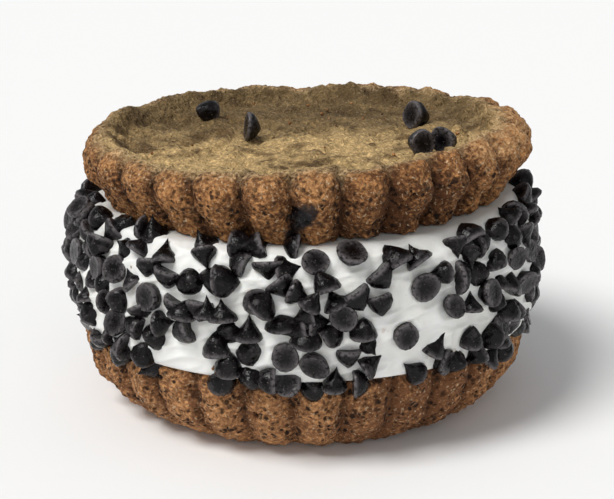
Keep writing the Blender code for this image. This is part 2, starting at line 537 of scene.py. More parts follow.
def lower_cookie():
    base_radius = COOKIE_RADIUS - LOWER_ROUND_WIDTH
    top_centre = (COOKIE_RADIUS - LOWER_TOP_ROUND, LOWER_TOP - LOWER_TOP_ROUND)
    outline = arc((base_radius, LOWER_ROUND_HEIGHT), (LOWER_ROUND_WIDTH, LOWER_ROUND_HEIGHT), -90, 0, 40)
    outline += arc(top_centre, (LOWER_TOP_ROUND, LOWER_TOP_ROUND), 0, 90, 8)
    bm = bmesh.new()
    roll(bm, outline, CRUMB_COLUMNS, LOWER_ROWS, strips=2, strip_height=WALL_STRIP)
    caps = bmesh.ops.holes_fill(bm, edges=open_edges(bm, 0, COOKIE_RADIUS), sides=0)["faces"]
    bmesh.ops.recalc_face_normals(bm, faces=bm.faces)
    base, top = sorted(caps, key=lambda face: face.calc_center_median().z)
    map_flat(bm, [base], (0.27, 0.72), 0.0075)
    map_flat(bm, [top], (0.76, 0.72), 0.0050)

    def outward(radius, height, angle):
        edge_share = ramp(radius, base_radius - 2, COOKIE_RADIUS - 3)
        return (waves(angle, LOWER_WIDTH_WAVES) - FLUTE_DEPTH * flute(angle)) * edge_share

    def openness(place):
        return ramp(place.z, 0, 5)

    reshape(bm, outward, lambda radius, height, angle: 0)
    bm.normal_update()
    roughen(bm, openness, lambda place: 0, LOWER_HOLLOWS, lambda place: 0, lambda place: 0)
    for vert in bm.verts:
        vert.co.z = max(vert.co.z, 0)
    finish_piece("lower_cookie_crumb", bm, lower_crumb, "lower_cookie")


lower_cookie()

# %% [markdown]
# ## The upper cookie
#
# This cookie flares from its foot to an uneven rim that stands round a shallow dish. The rolled grid goes up
# the side, over the rim and down into the dish. There its thin faces would crowd together towards the
# middle, so rings with half the columns each time carry on inwards, bridged to one another.

# %% Build the upper cookie
UPPER_FOOT_RADIUS = 39.0
UPPER_FOOT_ROUND = 1.5
RIM_CREST_RADIUS = 38.6
RIM_HALF_HEIGHT = 4.0
DISH_RADIUS = 32.5
DISH_DEPTH = 2.6
UPPER_ROWS = 84
DISH_RINGS = ((31.6, 17.0, 2, 36), (16.4, 8.0, 4, 18), (7.5, 1.0, 8, 12))  # outer, inner, columns over, rows
UPPER_WIDTH_WAVES = ((0.22, 2, 0.4), (0.16, 5, 2.1), (0.12, 11, 0.9))
UPPER_RIM_WAVES = ((0.45, 2, 2.3), (0.25, 7, 0.3), (0.28, 13, 2.6))
SMOOTH_SIDE = 65  # degrees right of the front, where the rim baked to a smoother crust
SMEARS = (  # degrees right of the front, height, half width, half height
    (0.8, 5.9, 2.1, 2.1),
    (-1.4, 3.8, 1.5, 1.8),
    (-3.8, 1.4, 1.3, 1.8),
)
DISH_FLOOR = UPPER_THICKNESS - DISH_DEPTH
SHRUNK_LEFT = 1.4  # the baked cookie drew in a little at one side, and towards its foot
SHRUNK_FOOT = 0.6
TOP_HOLLOWS = (
    (Vector((26.4, -0.6, DISH_FLOOR)), 2.0, 1.7),
    (Vector((28.9, -2.2, DISH_FLOOR)), 1.5, -1.2),
    (Vector((24.2, -3.6, DISH_FLOOR)), 1.3, -0.6),
    (Vector((31.5, 9.5, DISH_FLOOR)), 3.4, 0.9),
    (Vector((-14.0, 12.0, DISH_FLOOR)), 1.8, 1.4),
    (Vector((-16.4, 10.6, DISH_FLOOR)), 1.4, -0.9),
    (Vector((-21.0, -9.0, DISH_FLOOR)), 3.0, 0.8),
    (Vector((3.0, -21.0, DISH_FLOOR)), 1.6, 1.0),
    (at_side(-41, 42, 7.0), 1.5, 1.0),
    (at_side(25.5, 42, 7.2), 1.2, 1.0),
)


def on_the_sandwich(place):
    """Where a point of the upper cookie lies once the cookie rests on the leaning ice cream."""
    turned = Matrix.Rotation(-UPPER_TILT, 4, "Y") @ Matrix.Rotation(UPPER_NOD, 4, "X")
    return Matrix.Translation((0, 0, UPPER_FOOT)) @ turned @ place


def upper_cookie():
    rim_width = COOKIE_RADIUS - RIM_CREST_RADIUS
    rim_centre = (RIM_CREST_RADIUS, UPPER_THICKNESS - RIM_HALF_HEIGHT)
    foot_centre = (UPPER_FOOT_RADIUS - UPPER_FOOT_ROUND, UPPER_FOOT_ROUND)
    outline = arc(foot_centre, (UPPER_FOOT_ROUND, UPPER_FOOT_ROUND), -90, 0, 8)
    outline += arc(rim_centre, (rim_width, RIM_HALF_HEIGHT), -20, 130, 40)
    outline += [(DISH_RADIUS, DISH_FLOOR)]
    bm = bmesh.new()
    wall = set(roll(bm, outline, CRUMB_COLUMNS, UPPER_ROWS, strips=2, strip_height=WALL_STRIP))
    outer = DISH_RADIUS
    for start, end, fewer, rows in DISH_RINGS:
        ring_line = [(start, DISH_FLOOR), (end, DISH_FLOOR)]
        roll(bm, ring_line, CRUMB_COLUMNS // fewer, rows)
        bmesh.ops.bridge_loops(bm, edges=open_edges(bm, start - 0.1, outer + 0.1))
        outer = end
    caps = bmesh.ops.holes_fill(bm, edges=[edge for edge in bm.edges if edge.is_boundary], sides=0)["faces"]
    bmesh.ops.recalc_face_normals(bm, faces=bm.faces)
    foot = min(caps, key=lambda face: face.calc_center_median().z)
    map_flat(bm, [face for face in bm.faces if face not in wall], (0.27, 0.72), 0.0075)
    map_flat(bm, [foot], (0.76, 0.72), 0.0055)

    def outward(radius, height, angle):
        edge_share = ramp(radius, DISH_RADIUS, UPPER_FOOT_RADIUS)
        depth = FLUTE_DEPTH * (1.15 + 0.75 * math.cos(angle - from_front(SMOOTH_SIDE)))
        shrunk = SHRUNK_LEFT * ramp(-math.cos(angle), 0.1, 1.0)
        shrunk += SHRUNK_FOOT * abs(math.cos(angle)) * (1 - ramp(height, 2, 8))
        return (waves(angle, UPPER_WIDTH_WAVES) - depth * flute(angle) - shrunk) * edge_share

    def upward(radius, height, angle):
        return waves(angle, UPPER_RIM_WAVES) * ramp(height, DISH_FLOOR, UPPER_THICKNESS)

    def baked_smooth(place):
        return ramp(math.cos(math.atan2(place.y, place.x) - from_front(SMOOTH_SIDE)), 0.5, 1.0)

    def top_share(place):
        over_rim = 1 - ramp(place.xy.length + 1.6 * baked_smooth(place), 36.0, 40.5)
        return ramp(place.z, DISH_FLOOR - 2, DISH_FLOOR - 0.5) * over_rim

    def openness(place):
        high = ramp(place.z, UPPER_THICKNESS - 5, UPPER_THICKNESS - 1)
        side = 1 - (0.35 + 0.45 * baked_smooth(place)) * high
        return side * (1 - 0.6 * top_share(place))

    # Where the rim on the smooth side is painted lighter, partly as crust and partly as a highlight.
    def pale_crust_and_highlight(place):
        high = ramp(place.z, UPPER_THICKNESS - 5.5, UPPER_THICKNESS - 1.0)
        return high * (0.35 + 0.65 * baked_smooth(place)) * (1 - top_share(place))

    def smears(place):
        angle = math.atan2(place.y, place.x)
        ragged = 0.6 * noise.noise(place * 0.9)
        shares = []
        for degrees, height, half_width, half_height in SMEARS:
            across = RIM_CREST_RADIUS * math.remainder(angle - from_front(degrees), TURN)
            away = math.hypot(across / half_width, (place.z - height) / half_height)
            shares.append(1 - ramp(away + ragged, 0.65, 1.15))
        return max(shares)

    reshape(bm, outward, upward)
    roughen(bm, openness, top_share, TOP_HOLLOWS, smears, pale_crust_and_highlight)
    for vert in bm.verts:
        inside = top_share(vert.co)
        swells = 0.9 * noise.noise(vert.co * 0.13) + 0.5 * noise.noise(vert.co * 0.30)
        creases = 0.7 * (1 - abs(noise.noise(vert.co * 0.17 + Vector((5, 2, 8))))) ** 10
        vert.co.z += inside * (swells - creases)
        vert.co = on_the_sandwich(vert.co)
    finish_piece("upper_cookie_crumb", bm, upper_crumb, "upper_cookie")


upper_cookie()

# %% [markdown]
# ## The ice cream
#
# The slab bulges out between the cookies. Its side was smoothed with a spatula, which leaves shallow folds
# that lean as the blade travelled, and pressing the chips in has raised a soft lip round each. The chips'
# places are therefore settled first, and the band is shaped round them.

# %% Work out the ice cream's plain side
BAND_TOP_RADIUS = 38.6
BAND_BULGE_RADIUS = 43.7
BAND_FOOT_RADIUS = 42.4
BULGE_HEIGHT = 0.42 * ICE_CREAM_THICKNESS
BAND_WAVES = ((0.35, 3, 2.3), (0.30, 5, 0.7), (0.25, 8, 1.8))


def band_radius(angle, height):
    """The ice cream's radius at a height above its own foot."""
    if height < BULGE_HEIGHT:
        low, reach = BAND_FOOT_RADIUS, BULGE_HEIGHT
    else:
        low, reach = BAND_TOP_RADIUS, ICE_CREAM_THICKNESS - BULGE_HEIGHT
    fall = min(abs(height - BULGE_HEIGHT) / reach, 1)
    radius = low + (BAND_BULGE_RADIUS - low) * math.sqrt(1 - fall * fall)
    lift = math.sin(math.pi * min(max(height / ICE_CREAM_THICKNESS, 0), 1))
    return radius + waves(angle + 0.04 * height, BAND_WAVES) * lift


def band_lean(angle):
    """How far the upper cookie's lean lifts the top of the ice cream, for each millimetre of radius."""
    return math.cos(angle) * math.tan(UPPER_TILT) + math.sin(angle) * math.tan(UPPER_NOD)


def band_point(angle, height):
    """The place on the ice cream's side at an angle round the axis and a height above its foot."""
    radius = band_radius(angle, height)
    lifted = height + height / ICE_CREAM_THICKNESS * radius * band_lean(angle)
    return Vector((radius * math.cos(angle), radius * math.sin(angle), ICE_CREAM_FOOT + lifted))


def band_normal(angle, height):
    """Straight out of the ice cream's side at that place."""
    step = 0.3
    round_way = band_point(angle + step / BAND_BULGE_RADIUS, height) - band_point(angle, height)
    up_way = band_point(angle, height + step) - band_point(angle, height)
    return round_way.cross(up_way).normalized()


print(f"the ice cream bulges to {band_point(from_front(0), BULGE_HEIGHT).xy.length:.1f} mm at the front")

# %% [markdown]
# ## Where the chips land
#
# A sandwich that is rolled in a tray of chips picks them up thickly, but not evenly: the ice cream stays bare
# under the upper cookie, and in patches that missed the tray. Some chips lie base outwards, some point out,
# and most lie on their side. How they fell decides how the front looks, so those at the front are listed one
# by one, each with the way its tip points. Round the back they're thrown.

# %% Describe one chip
FOOT_REACH = -1.6
TOP_REACH = 22.0
LIE_DEPTHS = {"base": (0.0, 0.9), "tip": (-0.4, 0.6), "side": (-0.2, 0.7)}
LAID_WOBBLE = 0.16
THROWN_WOBBLE = 0.38


class Chip:
    """One chip: its middle, the way its tip points, and the luck that decides its mould."""

    def __init__(self, place, out, lie, dice, proud=0.0, axis=None):
        along = Matrix.Rotation(dice.uniform(0, TURN), 3, out) @ out.orthogonal().normalized()
        wobble = Vector([dice.uniform(-1, 1) for _ in range(3)])
        loose = LAID_WOBBLE if axis else THROWN_WOBBLE
        straight = axis or {"base": -out, "tip": out, "side": along}[lie]
        self.axis = (straight + loose * wobble).normalized()
        self.size = dice.uniform(0.93, 1.10)
        self.turn = dice.uniform(0, TURN)
        self.luck = dice.random()
        self.place = place
        self.centre = place + out * (dice.uniform(*LIE_DEPTHS[lie]) + proud)


# %% [markdown]
# The first table lists the chips that decide how the front looks. A chip that lies on its side gives the
# heading of its tip, as if a dial lay on the ice cream: 0 is to the right and 90 is up. The second table
# lists the leaning ovals where the ice cream stays bare.

# %% Lay out the front from a list
PLACED_CHIPS = (  # degrees right of the front, height above the ice cream's foot, lie or the tip's heading
    (-80.0, 22.8, 60), (-63.0, 22.3, 20), (-52.0, 23.6, 45), (-46.0, 23.6, 180), (-41.5, 23.9, 90),
    (-53.5, 21.3, 240), (-56.0, 19.0, 270), (-42.2, 21.2, 70), (-34.2, 20.5, 95), (-26.2, 23.0, 120),
    (-23.4, 21.0, 300), (-14.8, 20.6, 160), (-11.5, 22.8, 200), (-15.2, 23.2, 0), (-3.3, 22.8, 165),
    (-32.5, 17.1, 250), (-25.8, 17.5, "tip"), (-20.5, 17.6, 180), (-17.0, 18.0, 10), (-8.0, 19.7, 270),
    (-43.2, 15.3, 125), (-52.0, 13.2, 30), (-64.0, 14.8, 90), (-66.0, 19.5, 240), (-70.0, 12.0, 80),
    (-36.2, 13.3, "base"), (-30.0, 12.3, 250), (-26.8, 12.2, 80), (-23.0, 12.6, 270), (-20.7, 12.8, 90),
    (-17.6, 12.6, 95), (-46.5, 10.6, 315), (-52.0, 9.5, 200), (-60.8, 9.2, 100), (-41.0, 6.9, 170),
    (-32.3, 9.0, 10), (-27.0, 8.7, 200), (-12.0, 9.7, 90), (-10.3, 15.1, "base"), (-8.0, 14.6, 60),
    (-4.7, 16.9, 300), (-1.3, 16.2, 330), (-5.2, 11.4, 100), (-1.7, 10.0, 180), (-11.2, 6.1, "tip"),
    (-17.0, 3.0, 90), (-11.3, 1.2, "tip"), (-4.3, 5.1, "base"), (-3.8, 0.0, 270), (-8.0, 1.0, 180),
    (-45.5, 2.8, 170), (-38.3, 2.3, 60), (-50.5, 4.0, 150), (-58.0, 6.2, 40),
    (2.2, 20.4, "base"), (10.6, 21.1, "base"), (17.0, 17.9, 315), (20.8, 20.3, 110), (25.5, 20.1, 120),
    (27.2, 15.4, "base"), (31.6, 17.0, 180), (38.0, 15.4, 0), (33.8, 11.1, "base"), (40.2, 10.6, 90),
    (45.0, 11.7, "base"), (37.2, 20.3, 250), (44.7, 19.8, 20), (41.0, 21.2, 90), (51.2, 20.7, 180),
    (48.5, 16.6, 90), (56.0, 15.6, "base"), (54.0, 11.5, 60), (54.2, 6.8, 90), (60.0, 21.5, 120),
    (64.0, 17.8, 270), (67.0, 11.5, 90), (66.0, 7.5, 30), (22.0, 7.9, "base"), (6.1, 9.1, 20),
    (12.5, 9.8, 90), (9.4, 4.8, 260), (2.4, 4.0, "base"), (14.7, 2.9, 40), (12.7, 0.1, 0),
    (6.5, 0.8, 90), (25.0, 0.6, 150), (30.4, 4.6, 70), (37.2, 0.7, "tip"), (40.0, 4.5, 90),
    (46.5, 3.3, 180), (54.6, 1.3, 90), (11.2, 15.0, 300), (16.2, 13.7, 280), (6.3, 15.0, 120),
    (4.4, 17.6, 110), (1.6, 15.2, 60), (2.7, 11.3, 0), (0.5, 9.2, 90), (0.0, 12.9, 200),
)
BARE_PATCHES = (  # degrees right of the front, height, half width in degrees, half height, lean
    (-27.0, 2.6, 9.5, 4.4, 0.0),
    (-27.0, -1.5, 9.0, 3.0, 0.0),
    (-21.5, 7.6, 4.5, 1.6, 0.0),
    (-14.5, 15.6, 2.7, 3.6, 0.0),
    (-48.0, 18.3, 4.5, 1.3, 0.0),
    (-58.5, 16.5, 2.5, 1.3, 0.0),
    (-40.3, 17.5, 4.8, 1.1, -0.38),
    (-42.5, 11.3, 3.4, 1.5, -0.1),
    (-49.8, 7.3, 2.2, 1.4, 0.0),
    (-59.0, 11.3, 1.5, 1.2, 0.0),
    (-29.8, 21.0, 2.0, 2.2, 0.0),
    (-19.5, 22.0, 2.6, 2.0, 0.0),
    (-8.3, 8.6, 2.6, 1.3, 0.0),
    (9.3, 18.2, 4.0, 1.3, 0.0),
    (16.5, 20.8, 3.0, 1.8, 0.0),
    (22.0, 8.3, 6.5, 6.7, 0.0),
    (29.0, 10.0, 3.5, 2.6, 0.0),
    (34.5, 7.2, 12.0, 2.0, 0.0),
    (35.0, 2.8, 2.5, 1.5, 0.0),
    (31.5, -0.8, 3.0, 2.2, 0.0),
    (18.5, 1.5, 4.0, 5.0, 0.0),
    (21.5, 16.3, 3.6, 2.6, 0.0),
    (31.5, 21.0, 3.5, 2.2, 0.0),
    (31.5, 13.5, 3.0, 1.2, 0.0),
    (40.0, 13.3, 2.5, 1.0, 0.0),
    (43.0, 17.2, 3.0, 1.1, 0.0),
    (47.5, 14.4, 1.8, 0.9, 0.0),
    (46.0, 8.0, 4.5, 1.6, 0.0),
    (58.5, 8.8, 1.5, 1.2, 0.0),
    (62.0, 6.3, 2.5, 2.2, 0.0),
    (61.5, 13.4, 1.6, 1.2, 0.0),
)
CHIPPED_TOP = 20.6  # above this, the ice cream shows bare at the front
PILE_SPACING = 3.9  # chips closer together than this heap up
DEEPEST = -1.25
GAP_SINK = -0.6
HEAP_LIFT = 1.5


def bare_here(degrees, height):
    """Whether the ice cream stays without thrown chips there."""
    dip = 1.2 * ramp(abs(degrees + 4), 16, 26)
    top_edge = CHIPPED_TOP - dip + 4 * ramp(-degrees, 31, 38) + 4 * ramp(degrees, 36, 42)
    if height > top_edge:
        return True
    for centre, middle, half_width, half_height, lean in BARE_PATCHES:
        across = (degrees - centre) / half_width
        up = (height - middle - lean * (degrees - centre)) / half_height
        if across * across + up * up < 1:
            return True
    return False


def side_tuck(degrees, height):
    """How much deeper chips sit at the two sides; near the ice cream's top they stand out instead."""
    at_the_side = ramp(abs(degrees), 48, 70) * (1 - ramp(abs(degrees), 92, 112))
    return at_the_side * (1.5 - 0.6 * ramp(height, 2, 12) - 1.6 * ramp(height, 13, 20))


def heading(angle, height, degrees):
    """The direction along the ice cream's side that points so many degrees up from the right."""
    out = band_normal(angle, height)
    right = Vector((-math.sin(angle), math.cos(angle), 0))
    up = out.cross(right)
    turned = math.radians(degrees)
    return right * math.cos(turned) + up * math.sin(turned)


def lay_on_band(degrees, height, lie, landed, dice, ride=0.7):
    """A chip on the ice cream's side, which rides on chips that lie there, or sinks if ride is below 0."""
    angle = from_front(degrees)
    place = band_point(angle, height)
    crowding = sum(max(PILE_SPACING - (place - chip.place).length, 0) for chip in landed)
    axis = None if isinstance(lie, str) else heading(angle, height, lie)
    proud = min(max(ride * crowding, GAP_SINK), HEAP_LIFT) - side_tuck(degrees, height)
    proud = max(proud, DEEPEST)
    return Chip(place, band_normal(angle, height), "side" if axis else lie, dice, proud, axis)


front_dice = random.Random(20)
chips = []
for row in PLACED_CHIPS:
    chips.append(lay_on_band(*row, chips, front_dice))
print(f"{len(chips)} chips laid at the front")

# %% [markdown]
# The thrown chips keep their distance from those that lie there already, and then jostle until they lie as
# closely as poured chips do. At the front they only fill gaps, a little deeper than their neighbours. Round
# the back, slow noise lets them lie more loosely in some places.

# %% Throw the other chips
FRONT = 66  # degrees to either side
FILLING_SPACING = 3.35
CHIP_SPACING = 3.15
LOOSE_SPACING = 4.30
FILLING_RIDE = -0.4
THROWN_RIDE = 0.1
LIE_SHARES = {"base": 0.25, "tip": 0.20, "side": 0.55}
CHIP_TRIES = 12000
SETTLING_ROUNDS = 5
SETTLED_SPACING = 3.35


def settle(spots, fixed):
    """Nudges spots (degrees, height) apart, all but the first fixed ones, and not on to bare ice cream."""
    for _ in range(SETTLING_ROUNDS):
        places = [band_point(from_front(degrees), height) for degrees, height in spots]
        near = KDTree(len(places))
        for number, place in enumerate(places):
            near.insert(place, number)
        near.balance()
        moved = spots[:fixed]
        for (degrees, height), place in zip(spots[fixed:], places[fixed:]):
            push_round, push_up = 0, 0
            for other, _, distance in near.find_range(place, SETTLED_SPACING):
                if distance > 0:
                    push = 0.5 * (SETTLED_SPACING - distance) / distance
                    round_way = Vector((-place.y, place.x)).normalized()
                    push_round += push * (place - other).xy.dot(round_way)
                    push_up += push * (place - other).z
            new_degrees = degrees + math.degrees(push_round / BAND_BULGE_RADIUS)
            new_height = min(max(height + push_up, FOOT_REACH), TOP_REACH)
            kept = bare_here(new_degrees, new_height)
            moved.append((degrees, height) if kept else (new_degrees, new_height))
        spots = moved
    return spots


def throw_chips():
    dice = random.Random(20)
    laid = len(chips)
    spots = [(degrees, height) for degrees, height, _ in PLACED_CHIPS]
    places = [chip.place for chip in chips]
    for _ in range(CHIP_TRIES):
        degrees = dice.uniform(-180, 180)
        height = dice.uniform(FOOT_REACH, TOP_REACH)
        if bare_here(degrees, height):
            continue
        place = band_point(from_front(degrees), height)
        loose = ramp(noise.noise(place * 0.10), 0.05, 0.35)
        spacing = CHIP_SPACING + (LOOSE_SPACING - CHIP_SPACING) * loose
        if abs(degrees) < FRONT:
            spacing = FILLING_SPACING
        if all((place - other).length > spacing for other in places):
            spots.append((degrees, height))
            places.append(place)
    for degrees, height in settle(spots, laid)[laid:]:
        lie = dice.choices(tuple(LIE_SHARES), tuple(LIE_SHARES.values()))[0]
        ride = FILLING_RIDE if abs(degrees) < FRONT else THROWN_RIDE
        chips.append(lay_on_band(degrees, height, lie, chips, dice, ride))


throw_chips()
print(f"{len(chips)} chips on the ice cream")

# %% [markdown]
# ## The chips
#
# A mini chip is a drop of chocolate that was let fall on a cold belt: a round base with a slightly raised
# edge, a full side, and a tip drawn out to one side or the other. Two outlines are spun, a blunt drop and a
# kiss with a thin tip, and each is then knocked about a little. Copies of these moulds are laid at every
# place.

# %% Mould the chips
CHIP_COLUMNS = 16
CHIP_OUTLINES = {
    "drop": ((0, 0.22), (2.18, 0.03), (2.42, 0.40), (2.28, 1.40), (1.55, 2.50), (0.66, 3.25), (0, 3.65)),
    "kiss": ((0, 0.18), (2.18, 0.03), (2.40, 0.38), (2.12, 1.25), (1.12, 2.30), (0.42, 3.20), (0, 4.15)),
}
CHIP_KINDS = (  # outline, width, height, how far the tip leans
    ("drop", 1.00, 1.00, 0.2),
    ("kiss", 1.02, 0.92, 0.4),
    ("drop", 1.06, 0.82, -0.5),
    ("kiss", 0.95, 1.00, -0.5),
    ("drop", 0.96, 1.12, 0.6),
    ("kiss", 1.04, 0.88, 0.3),
    ("drop", 1.02, 0.94, -1.1),
)
DENT_SIZE = 0.42
DENT_DEPTH = 0.34


def mould_chip(outline_name, width, height, lean):
    """A drop whose tip leans over by so many millimetres, with flats and dents from being knocked about."""
    outline = CHIP_OUTLINES[outline_name]
    bm = bmesh.new()
    points = [bm.verts.new((radius * width, 0, up * height)) for radius, up in outline]
    edges = [bm.edges.new(pair) for pair in zip(points, points[1:])]
    around = {"cent": (0, 0, 0), "axis": (0, 0, 1), "angle": TURN, "steps": CHIP_COLUMNS}
    bmesh.ops.spin(bm, geom=points + edges, use_merge=True, **around)
    bmesh.ops.remove_doubles(bm, verts=bm.verts, dist=0.01)
    bmesh.ops.recalc_face_normals(bm, faces=bm.faces)
    uv = bm.loops.layers.uv.new(MAP_NAME)
    for face in bm.faces:
        middle = face.calc_center_median()
        turn = math.atan2(middle.y, middle.x)
        for loop in face.loops:
            spot = loop.vert.co
            own = math.atan2(spot.y, spot.x) if spot.xy.length > 0.01 else turn
            across = turn + math.remainder(own - turn, TURN)
            ring = min(range(len(outline)), key=lambda step: abs(outline[step][1] * height - spot.z))
            loop[uv].uv = (across / TURN + 0.5, ring / (len(outline) - 1))
    bm.verts.index_update()
    base_edge = {vert.index for vert in bm.verts if abs(vert.co.z - outline[1][1] * height) < 0.01}
    wear_and_highlight = bm.verts.layers.float.new("wear_and_highlight")
    tip = outline[-1][1] * height
    for vert in bm.verts:
        share = vert.co.z / tip
        turn = math.atan2(vert.co.y, vert.co.x)
        # Base edges and tips are paler: partly rubbed, partly a painted highlight.
        rim = ramp(vert.co.xy.length, 1.5, 2.2) * (1 - ramp(share, 0.12, 0.35))
        vert[wear_and_highlight] = max(rim, 0.8 * ramp(share, 0.80, 1.0))
        pinch = 1 + 0.12 * share * math.cos(3 * turn + 5 * lean) + 0.05 * math.cos(2 * turn + 9 * lean)
        dent = DENT_DEPTH * noise.noise(vert.co * DENT_SIZE + Vector((7 * lean, width, height)))
        vert.co.x = vert.co.x * pinch + lean * share * share
        vert.co.y = vert.co.y * pinch
        vert.co += dent * vert.co.normalized()
    for edge in bm.edges:
        if all(vert.index in base_edge for vert in edge.verts):
            edge.smooth = False
    mesh = bpy.data.meshes.new("chip")
    bm.to_mesh(mesh)
    bm.free()
    return mesh


chip_moulds = [mould_chip(*kind) for kind in CHIP_KINDS]
print(f"{len(chip_moulds)} moulds of {len(chip_moulds[0].polygons)} faces")

# %% [markdown]
# Chips that have rubbed against each other in a bag have lost their gloss. Their sides keep a faint grey
# bloom, their base edges and tips are paler, partly rubbed and partly painted highlights, and a little dust
# clings to them. The moulds carry where they are rubbed and where the highlight is painted, so that the
# paler edges follow the shape.

# %% Mix the chocolate's finish
def chocolate_finish():
    """Dark chocolate with a faint bloom, edges rubbed paler and painted with highlights, crumbs of dust and a
    soft sheen.
    """
    chocolate = Finish("dark_chocolate", Specular_IOR_Level=0.19)
    bloom = chocolate.ramp(chocolate.noise(1.8, detail=3), 0.45, 0.75)
    dust = chocolate.ramp(chocolate.noise(0.32, detail=2), 0.66, 0.76)
    wear_and_highlight = chocolate.painted("wear_and_highlight")
    worn_and_highlit = wear_and_highlight * wear_and_highlight * wear_and_highlight * chocolate.ramp(chocolate.noise(0.6, detail=3), 0.30, 0.55)
    scraped = chocolate.ramp(chocolate.noise(1.3, detail=3), 0.56, 0.72)
    colour = chocolate.mix(bloom, (0.0022, 0.0015, 0.0018), (0.0090, 0.0070, 0.0085))
    # Paler where rubbed and where a highlight is painted on edges and tips, and in scraped patches.
    colour = chocolate.mix(chocolate.most(0.80 * worn_and_highlit, 0.22 * scraped), colour, (0.135, 0.122, 0.126))
    colour = chocolate.mix(0.5 * dust, colour, (0.230, 0.195, 0.175))
    height = 0.8 * chocolate.noise(1.3, detail=2) + 0.2 * chocolate.noise(0.3, detail=2)
    rough = 0.20 + 0.16 * bloom + 0.25 * scraped
    return chocolate.surface(Base_Color=colour, Roughness=rough, Normal=chocolate.bump(height, 0.32))


dark_chocolate = chocolate_finish()
print("chocolate finish:", dark_chocolate.name)

# %% [markdown]
# Each chip is a turned and slightly resized copy of one mould, and all of them together make one piece. Its
# map gives every chip a square of its own, so that no two share their marks.

# %% Lay a chip at every place
CHIP_MIDDLE = 1.5


def lay_chips(name, placed):
    """One piece that holds a copy of a mould for each placed chip."""
    bm = bmesh.new()
    cells = math.ceil(math.sqrt(len(placed)))
    uv = bm.loops.layers.uv.new(MAP_NAME)
    for number, chip in enumerate(placed):
        first_vert, first_face = len(bm.verts), len(bm.faces)
        bm.from_mesh(chip_moulds[math.floor(chip.luck * len(chip_moulds))])
        bm.verts.ensure_lookup_table()
        bm.faces.ensure_lookup_table()
        upright = chip.axis.to_track_quat("Z", "Y").to_matrix().to_4x4()
        pose = Matrix.Translation(chip.centre) @ upright @ Matrix.Rotation(chip.turn, 4, "Z")
        pose = pose @ Matrix.Scale(chip.size, 4) @ Matrix.Translation((0, 0, -CHIP_MIDDLE))
        bmesh.ops.transform(bm, matrix=pose, verts=bm.verts[first_vert:])
        row, column = divmod(number, cells)
        for face in bm.faces[first_face:]:
            for loop in face.loops:
                spot = loop[uv].uv
                loop[uv].uv = ((column + 0.04 + 0.92 * spot.x) / cells, (row + 0.04 + 0.92 * spot.y) / cells)
    finish_piece(name, bm, dark_chocolate)


lay_chips("mini_chips", chips)

# %% [markdown]
# ## Stray chips
#
# A few chips fell on the upper cookie instead and lie loose in its dish, and one that was in the dough shows
# at the cookie's side, half sunk and smeared.

# %% Lay the stray chips
STRAY_CHIPS = (  # place across and back in the dish, and the way the tip points
    ((20.6, -18.8), (-0.25, 0.95, 0.15)),
    ((25.2, -16.6), (0.45, 0.85, 0.10)),
    ((22.0, 4.8), (0.80, 0.55, -0.10)),
    ((-19.0, 15.0), (-0.5, -0.7, 0.3)),
    ((-9.0, -3.0), (0.9, 0.3, 0.0)),
)
STRAY_LIFT = 1.9
BAKED_CHIP_PLACE = (-0.2, 38.2, 5.2)  # degrees right of the front, distance from the axis, height
BAKED_CHIP_AXIS = (-0.60, -0.10, -0.80)


def stray_chips():
    dice = random.Random(7)
    up = Vector((0, 0, 1))
    strays = []
    for (across, back), axis in STRAY_CHIPS:
        place = on_the_sandwich(Vector((across, back, DISH_FLOOR + STRAY_LIFT)))
        strays.append(Chip(place, up, "side", dice, axis=Vector(axis)))
    return strays


def baked_chip():
    """A chip that shows its base at the cookie's side, almost level with the crumb."""
    dice = random.Random(3)
    out = at_side(-1, 1, 0)
    place = on_the_sandwich(at_side(*BAKED_CHIP_PLACE))
    return Chip(place, out, "side", dice, proud=0.3, axis=Vector(BAKED_CHIP_AXIS))


lay_chips("stray_chips", stray_chips())
lay_chips("baked_in_chip", [baked_chip()])

# %% [markdown]
# ## Shaping the ice cream
#
# The band is one rolled grid. Folds are ridged noise, stretched along the way the spatula went, and the
# points in a ring round each chip are raised into a lip, by their distance from that chip's middle.

# %% Build the ice cream
BAND_COLUMNS = 600
BAND_ROWS = 84
LIP_RADIUS = 2.9
LIP_HEIGHT = 0.30
LIP_WIDTH = 0.8


def cream_finish():
    cream = Finish(
        "ice_cream",
        Specular_IOR_Level=0.40,
        Subsurface_Weight=0.25,
        Subsurface_Radius=(1.0, 0.85, 0.65),
        Subsurface_Scale=1.2 * MM,
    )
    shade = cream.ramp(cream.noise(7, detail=2), 0.3, 0.7)
    colour = cream.mix(shade, (0.79, 0.788, 0.750), (0.84, 0.840, 0.818))
    stain = cream.ramp(cream.noise(2.2, detail=3), 0.66, 0.76)
    colour = cream.mix(0.40 * stain, colour, (0.50, 0.36, 0.24))
    height = 0.8 * cream.noise(1.8, detail=3) + 0.2 * cream.noise(0.5, detail=2)
    return cream.surface(Base_Color=colour, Roughness=0.36 + 0.20 * shade, Normal=cream.bump(height, 0.22))


def spatula_folds(angle, height):
    """Shallow overlapping strokes in millimetres."""
    along = angle * BAND_BULGE_RADIUS
    slanted = height - 0.18 * along
    stroke = noise.noise(Vector((math.cos(angle) * 2.6, math.sin(angle) * 2.6, slanted * 0.26)))
    edge = 1 - abs(noise.noise(Vector((math.cos(angle) * 3.4, math.sin(angle) * 3.4, slanted * 0.42 + 7))))
    return 0.60 * stroke + 0.45 * edge**6


